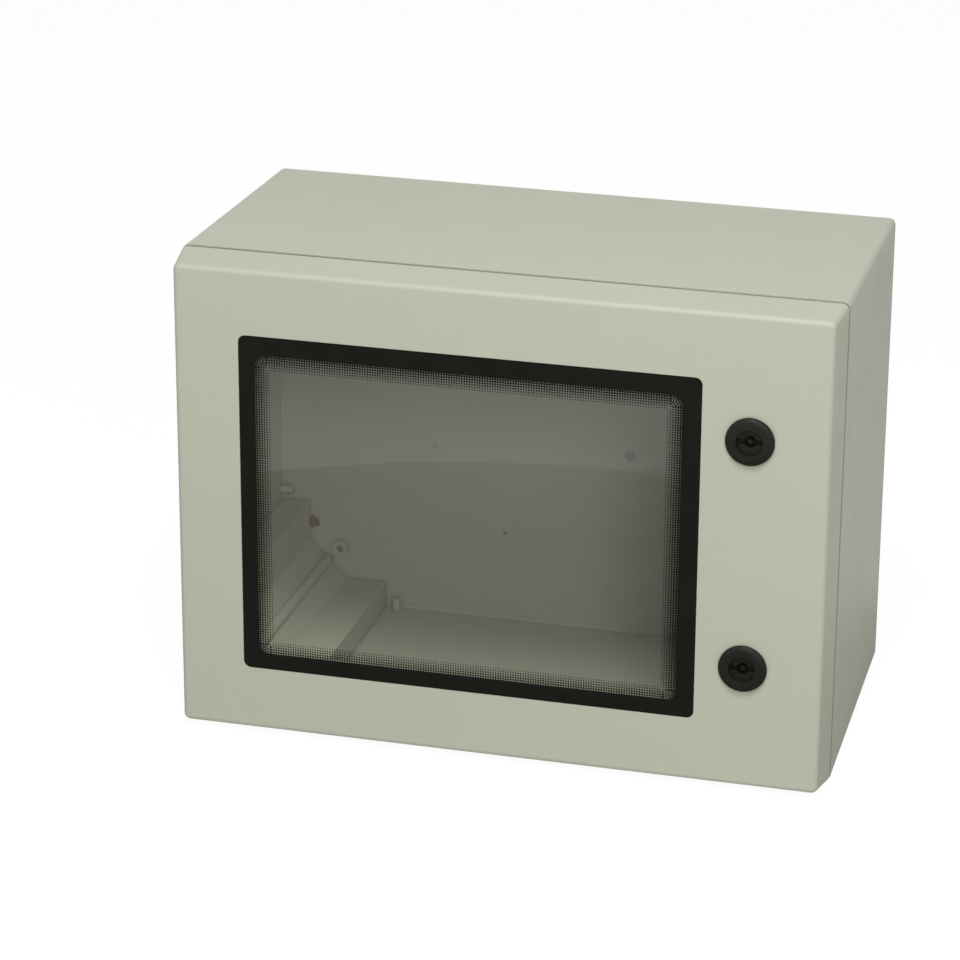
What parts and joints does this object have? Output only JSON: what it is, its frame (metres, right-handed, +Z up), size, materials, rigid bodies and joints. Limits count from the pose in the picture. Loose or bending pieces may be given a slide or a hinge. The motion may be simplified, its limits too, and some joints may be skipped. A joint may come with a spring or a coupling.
{
  "type": "electrical enclosure",
  "caption": "Grey moulded wall-mounting electrical enclosure with a drafted body, a hinged door with a framed window, and quarter-turn key locks that catch behind a sealing frame.",
  "frame": {"origin": "under the middle of the cabinet, at the level of its lowest edge", "axes": "+X towards the locks, +Y into the wall behind, +Z up; the door's face looks along -Y"},
  "size_m": [0.4, 0.213, 0.3],
  "materials": {
    "grey_moulding": "fine moulded texture, satin",
    "clear_pane": "clear, polished",
    "black_bond": "black, flexible",
    "black_rubber": "foamed seal, matt",
    "black_plastic": "fine moulded texture",
    "zinc_steel": "zinc plated",
    "hinge_casting": "grey coated casting"
  },
  "bodies": {
    "cabinet": {"enclosure_body": "grey_moulding", "hinge_bracket_upper": "hinge_casting", "hinge_bracket_lower": "hinge_casting", "hinge_bracket_screws_upper": "zinc_steel", "hinge_bracket_screws_lower": "zinc_steel"},
    "door": {"door_leaf": "grey_moulding", "window_pane": "clear_pane", "window_bond": "black_bond", "door_gasket": "black_rubber", "hinge_pin_upper": "zinc_steel", "hinge_pin_lower": "zinc_steel", "lock_housing_upper": "black_plastic", "lock_housing_lower": "black_plastic", "lock_seal_upper": "black_rubber", "lock_seal_lower": "black_rubber", "lock_nut_upper": "black_plastic", "lock_nut_lower": "black_plastic"},
    "upper_lock": {"lock_rotor_upper": "black_plastic", "lock_cam_upper": "zinc_steel", "cam_washer_upper": "zinc_steel", "cam_screw_upper": "zinc_steel"},
    "lower_lock": {"lock_rotor_lower": "black_plastic", "lock_cam_lower": "zinc_steel", "cam_washer_lower": "zinc_steel", "cam_screw_lower": "zinc_steel"}
  },
  "joints": [
    {"name": "door_hinge", "type": "hinge", "parent": "cabinet", "child": "door", "pos_m": [-0.194, -0.0907, 0.15], "axis": [0, 0, -1], "range_deg": [0, 120]},
    {"name": "upper_lock_turn", "type": "hinge", "parent": "door", "child": "upper_lock", "pos_m": [0.15, -0.1035, 0.22075], "axis": [0, 1, 0], "range_deg": [0, 90]},
    {"name": "lower_lock_turn", "type": "hinge", "parent": "door", "child": "lower_lock", "pos_m": [0.15, -0.1035, 0.07925], "axis": [0, 1, 0], "range_deg": [0, 90]}
  ]
}
